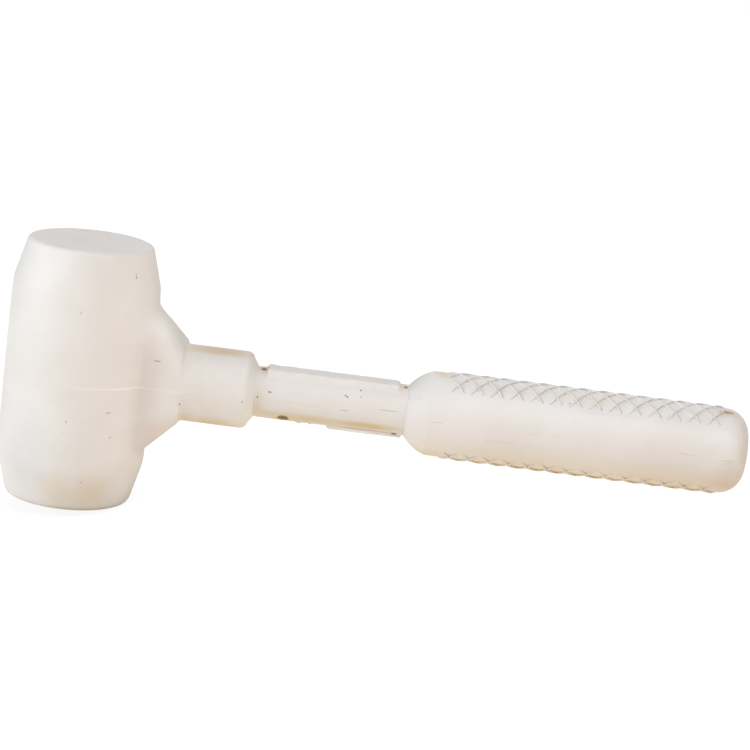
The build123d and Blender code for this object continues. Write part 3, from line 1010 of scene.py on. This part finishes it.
# How much grime and painted shadow the two sets of ribs carry on one flank, and how much of that is left
# under the grip
GRIME_AND_SHADOW = "grime"
RISING_RIB_GRIME_AND_SHADOW = 0.35
FALLING_RIB_GRIME_AND_SHADOW = 1
LOWER_RIB_GRIME_AND_SHADOW = 0.4
# The rows below each hold a spot, the radii along each axis in metres and how strong the area is.
# The spot is the distance from the neck in millimetres and degrees from the top towards the front.
GRIP_MARKS = (
    ((129.5, 13), (0.0042, 0.0018, 0.0007), 0.5),
    ((65.2, 37), (0.0004, 0.0004, 0.0004), 0.8),
    ((12.6, 88), (0.0042, 0.001, 0.00018), 0.28),
    ((52.8, 88), (0.003, 0.001, 0.00014), 0.2),
    ((61.4, 86), (0.0022, 0.001, 0.00014), 0.2),
    ((114, 88), (0.0055, 0.001, 0.00018), 0.25),
    ((131, 90), (0.0045, 0.001, 0.0002), 0.28),
)
# Painted warm shade under the grip and low on its front, and faint warm patches along its top.
GRIP_STAINS_AND_WARM_SHADE = (
    ((56, 140), (0.08, 0.016, 0.0135), 0.27),
    ((112, 140), (0.045, 0.016, 0.0135), 0.3),
    ((12, 150), (0.02, 0.012, 0.006), 0.42),
    ((72, 170), (0.1, 0.013, 0.0055), 0.7),
    ((14, 6), (0.006, 0.008, 0.002), 0.5),
    ((60, 22), (0.07, 0.008, 0.003), 0.16),
    ((129, 12), (0.008, 0.006, 0.003), 0.5),
)
# Painted pinkish shade on the grip's rounded end and under it, and a faint pinkish streak along its front.
GRIP_SOIL_AND_SHADE = (
    ((139, 75), (0.0065, 0.024, 0.024), 0.42),
    ((133, 125), (0.014, 0.018, 0.014), 0.45),
    ((75, 93), (0.1, 0.012, 0.01), 0.1),
)
# Painted highlight along the top of the grip.
GRIP_TOP_HIGHLIGHT = (((72, 4), (0.1, 0.016, 0.006), 0.45),)


class MALLET_OT_canister(bpy.types.Operator):
    """Finish the steel canister: its tube, caps, welds and filling plug"""

    bl_idname = "mallet.canister"
    bl_label = "Canister"

    def execute(self, context):
        colours = context.scene.mallet_colours
        tube = steel("canister_tube_steel", colours.tube_steel, (6, 6, 0.4), 0.34)
        caps = steel("canister_cap_steel", colours.tube_steel, (2, 2, 2), 0.4)
        welds = steel("weld_bead_steel", colours.weld_steel, (1, 1, 1), 0.5)
        plated = steel("plug_steel", colours.plated_steel, (3, 3, 3), 0.32)
        finish_nodes(tube, "canister_tube")
        finish_nodes(caps, "canister_cap_lower", "canister_cap_upper")
        finish_nodes(welds, "cap_weld_lower", "cap_weld_upper")
        finish_nodes(plated, "fill_plug")
        return {"FINISHED"}


class MALLET_OT_shot(bpy.types.Operator):
    """Model the loose steel balls in the canister, each as a light round shape"""

    bl_idname = "mallet.shot"
    bl_label = "Shot"

    def execute(self, context):
        colours = context.scene.mallet_colours
        packed = bmesh.new()
        packed.from_mesh(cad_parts["shot"].data)
        bmesh.ops.remove_doubles(packed, verts=packed.verts, dist=SAME_PLACE)
        bm = bmesh.new()
        for ball in self.balls(packed):
            low, high = (
                Vector(pick(vert.co[axis] for vert in ball) for axis in range(3)) for pick in (min, max)
            )
            middle = Matrix.Translation((low + high) / 2)
            bmesh.ops.create_icosphere(bm, subdivisions=2, radius=(high.z - low.z) / 2, matrix=middle)
        packed.free()
        material = steel("shot_steel", colours.shot_steel, (1, 1, 1), 0.42)
        piece("shot_balls", bm, "shot", material, "shot", sharp_angle=180)
        return {"FINISHED"}

    def balls(self, packed):
        """The vertices of each separate ball, found by walking along its edges."""
        for start in packed.verts:
            if start.tag:
                continue
            start.tag = True
            ball = [start]
            for vert in ball:
                for edge in vert.link_edges:
                    other = edge.other_vert(vert)
                    if not other.tag:
                        other.tag = True
                        ball.append(other)
            yield ball


class MALLET_OT_core(bpy.types.Operator):
    """Finish the handle's steel core, its sleeve, weld, pin, plug and washers"""

    bl_idname = "mallet.core"
    bl_label = "Handle Core"

    def execute(self, context):
        colours = context.scene.mallet_colours
        drawn = steel("core_tube_steel", colours.tube_steel, (0.3, 5, 5), 0.34)
        welds = steel("socket_weld_steel", colours.weld_steel, (1, 1, 1), 0.5)
        plated = steel("fastening_steel", colours.plated_steel, (3, 1, 1), 0.32)
        finish_nodes(drawn, "handle_core", "handle_socket")
        finish_nodes(welds, "socket_weld")
        finish_nodes(plated, "socket_pin", "core_end_plug", "anchor_washers")
        return {"FINISHED"}


class MALLET_OT_studio(bpy.types.Operator):
    """Set the mallet on a plain pale floor under soft lights, with a camera at its front"""

    bl_idname = "mallet.studio"
    bl_label = "Studio"

    def execute(self, context):
        self.add_floor(context)
        self.add_world(context)
        for name, direction, power, tint in LIGHTS:
            self.add_light(context, name, direction, power, tint)
        self.add_camera(context)
        context.scene.view_settings.view_transform = "Standard"
        return {"FINISHED"}

    def add_floor(self, context):
        """Adds the floor under the head's lower rim and the end of the grip, where the mallet rests."""
        sizes = context.scene.mallet_sizes
        rim = Vector((sizes.face_radius - sizes.lower_rim_rounding, 0, 0))
        heel = Vector((GRIP_HIGH.x - sizes.rib_end_gap, 0, GRIP_LOW.z))
        run = (heel - rim).normalized()
        up = Vector((-run.z, 0, run.x))
        bm = bmesh.new()
        bmesh.ops.create_grid(bm, x_segments=1, y_segments=1, size=FLOOR_REACH)
        turn = Matrix((run, Vector((0, 1, 0)), up)).transposed().to_4x4()
        bmesh.ops.transform(bm, matrix=Matrix.Translation(rim - up * FLOOR_GAP) @ turn, verts=bm.verts)
        mesh = bpy.data.meshes.new("studio_floor")
        bm.to_mesh(mesh)
        bm.free()
        mesh.materials.append(self.floor_paper())
        floor = bpy.data.objects.new("studio_floor", mesh)
        context.collection.objects.link(floor)

    def floor_paper(self):
        """White paper with a faint shadow under the head, that throws a warm glow up at the mallet."""
        surface = Surface("floor_paper")
        tree = surface.tree
        tree.nodes.remove(surface.shader)
        shade = surface.near((0, 0, 0), SHADOW_REACH, SHADOW_CORE)
        path = surface.node("ShaderNodeLightPath")
        geometry = surface.node("ShaderNodeNewGeometry")
        clear = surface.node("ShaderNodeBsdfTransparent")
        by_path = surface.node("ShaderNodeMixShader")
        by_side = surface.node("ShaderNodeMixShader")
        surface.link(path.outputs["Is Camera Ray"], by_path.inputs[0])
        looks = ((BOUNCE_PAPER, FLOOR_BOUNCE, FLOOR_BOUNCE_SHADED), (SEEN_PAPER, (1, 1, 1), FLOOR_SHADED))
        for socket, (paper, glow, shaded) in zip(by_path.inputs[1:], looks):
            diffuse = surface.node("ShaderNodeBsdfDiffuse")
            diffuse.inputs["Color"].default_value = (paper, paper, paper, 1)
            emission = surface.node("ShaderNodeEmission")
            surface.link(surface.mix(shade, glow, shaded), emission.inputs["Color"])
            both = surface.node("ShaderNodeAddShader")
            surface.link(diffuse.outputs[0], both.inputs[0])
            surface.link(emission.outputs[0], both.inputs[1])
            surface.link(both.outputs[0], socket)
        surface.link(geometry.outputs["Backfacing"], by_side.inputs[0])
        surface.link(by_path.outputs[0], by_side.inputs[1])
        surface.link(clear.outputs[0], by_side.inputs[2])
        surface.link(by_side.outputs[0], tree.nodes["Material Output"].inputs["Surface"])
        return surface.material

    def add_world(self, context):
        """Sets a white backdrop for the lens and a dim, slightly warm fill for the mallet."""
        world = bpy.data.worlds.new("studio_world")
        world.use_nodes = True
        tree = world.node_tree
        fill = tree.nodes["Background"]
        fill.inputs["Color"].default_value = (*FILL_TINT, 1)
        fill.inputs["Strength"].default_value = FILL_STRENGTH
        white = tree.nodes.new("ShaderNodeBackground")
        white.inputs["Color"].default_value = (1, 1, 1, 1)
        white.inputs["Strength"].default_value = BACKDROP_STRENGTH
        path = tree.nodes.new("ShaderNodeLightPath")
        mix = tree.nodes.new("ShaderNodeMixShader")
        tree.links.new(path.outputs["Is Camera Ray"], mix.inputs[0])
        tree.links.new(fill.outputs[0], mix.inputs[1])
        tree.links.new(white.outputs[0], mix.inputs[2])
        tree.links.new(mix.outputs[0], tree.nodes["World Output"].inputs["Surface"])
        context.scene.world = world

    def add_light(self, context, name, direction, power, tint):
        """Adds a soft round light that faces the mallet."""
        data = bpy.data.lights.new(name, "AREA")
        data.shape = "DISK"
        data.size = LIGHT_SIZE
        data.energy = power
        data.color = tint
        light = bpy.data.objects.new(name, data)
        toward = Vector(direction).normalized()
        turn = toward.to_track_quat("Z", "Y").to_matrix().to_4x4()
        light.matrix_world = Matrix.Translation(VIEW_CENTRE + toward * LIGHT_DISTANCE) @ turn
        context.collection.objects.link(light)

    def add_camera(self, context):
        """Adds the camera, in front of the handle and a little above it, rolled so that the handle dips."""
        turn, lift, roll = (math.radians(angle) for angle in (CAMERA_TURN, CAMERA_LIFT, CAMERA_ROLL))
        back = Vector((math.sin(turn) * math.cos(lift), -math.cos(turn) * math.cos(lift), math.sin(lift)))
        level = Vector((math.cos(turn), math.sin(turn), 0))
        above = back.cross(level)
        up = above * math.cos(roll) - level * math.sin(roll)
        eye = VIEW_CENTRE + back * CAMERA_DISTANCE
        aim = VIEW_CENTRE + up * AIM_ABOVE
        back = (eye - aim).normalized()
        up = (up - back * up.dot(back)).normalized()
        right = up.cross(back)
        data = bpy.data.cameras.new("studio_camera")
        data.lens = CAMERA_LENS
        camera = bpy.data.objects.new("studio_camera", data)
        camera.matrix_world = Matrix.Translation(eye) @ Matrix((right, up, back)).transposed().to_4x4()
        context.collection.objects.link(camera)
        context.scene.camera = camera


VIEW_CENTRE = Vector((0.122, 0, HANDLE_HEIGHT))
CAMERA_TURN = 0.4
CAMERA_LIFT = 13.6
CAMERA_ROLL = 7.17
CAMERA_DISTANCE = 1.15
CAMERA_LENS = 135.1
AIM_ABOVE = 12.7 * MM
FLOOR_REACH = 12
FLOOR_GAP = 0.2 * MM
# The paper glows, and reflects only a little: one look for the light it throws and one for what the lens sees
BOUNCE_PAPER = 0.4
FLOOR_BOUNCE = (0.608, 0.521, 0.4)
FLOOR_BOUNCE_SHADED = (0.12, 0.09, 0.05)
SEEN_PAPER = 0.12
FLOOR_SHADED = (0.9, 0.9, 0.9)
SHADOW_REACH = (0.06, 0.05, 0.03)
SHADOW_CORE = 0.3
FILL_TINT = (1.0, 0.95, 0.9)
FILL_STRENGTH = 0.13
BACKDROP_STRENGTH = 1.1
LIGHT_DISTANCE = 1.8
LIGHT_SIZE = 1.4
# Lights: name, direction from the mallet, power in watts and tint
LIGHTS = (
    ("left_light", (-1, -0.3, 0.25), 20.4, (0.82, 0.92, 1.0)),
    ("front_light", (0, -1, 1.6), 10.9, (1.0, 0.99, 0.97)),
    ("right_light", (0.75, -0.75, 1), 10.6, (1.0, 0.97, 0.97)),
    ("back_light", (0, 1, 0.6), 5.2, (1.0, 1.0, 0.98)),
    ("top_light", (0, 0.1, 1), 1.2, (1.0, 0.98, 0.94)),
)


class MALLET_PT_panel(bpy.types.Panel):
    """The mallet's pieces and its studio"""

    bl_idname = "MALLET_PT_panel"
    bl_label = "Rubber Mallet"
    bl_space_type = "VIEW_3D"
    bl_region_type = "UI"
    bl_category = "Mallet"

    def draw(self, context):
        for settings in (context.scene.mallet_sizes, context.scene.mallet_colours):
            box = self.layout.box()
            for name in settings.__annotations__:
                box.prop(settings, name)
        for operator in OPERATORS:
            self.layout.operator(operator.bl_idname)


OPERATORS = (
    MALLET_OT_head_cover,
    MALLET_OT_neck_cover,
    MALLET_OT_grip_cover,
    MALLET_OT_canister,
    MALLET_OT_shot,
    MALLET_OT_core,
    MALLET_OT_studio,
)
CLASSES = (MalletSizes, MalletColours) + OPERATORS + (MALLET_PT_panel,)


def register():
    """Registers the classes and their settings."""
    for each in CLASSES:
        bpy.utils.register_class(each)
    bpy.types.Scene.mallet_sizes = PointerProperty(type=MalletSizes)
    bpy.types.Scene.mallet_colours = PointerProperty(type=MalletColours)


def unregister():
    """Removes the classes and their settings."""
    del bpy.types.Scene.mallet_colours
    del bpy.types.Scene.mallet_sizes
    for each in reversed(CLASSES):
        bpy.utils.unregister_class(each)


def main():
    """Builds every piece and the studio."""
    register()
    bpy.ops.mallet.head_cover()
    bpy.ops.mallet.neck_cover()
    bpy.ops.mallet.grip_cover()
    bpy.ops.mallet.canister()
    bpy.ops.mallet.shot()
    bpy.ops.mallet.core()
    bpy.ops.mallet.studio()


if __name__ == "__main__":
    main()
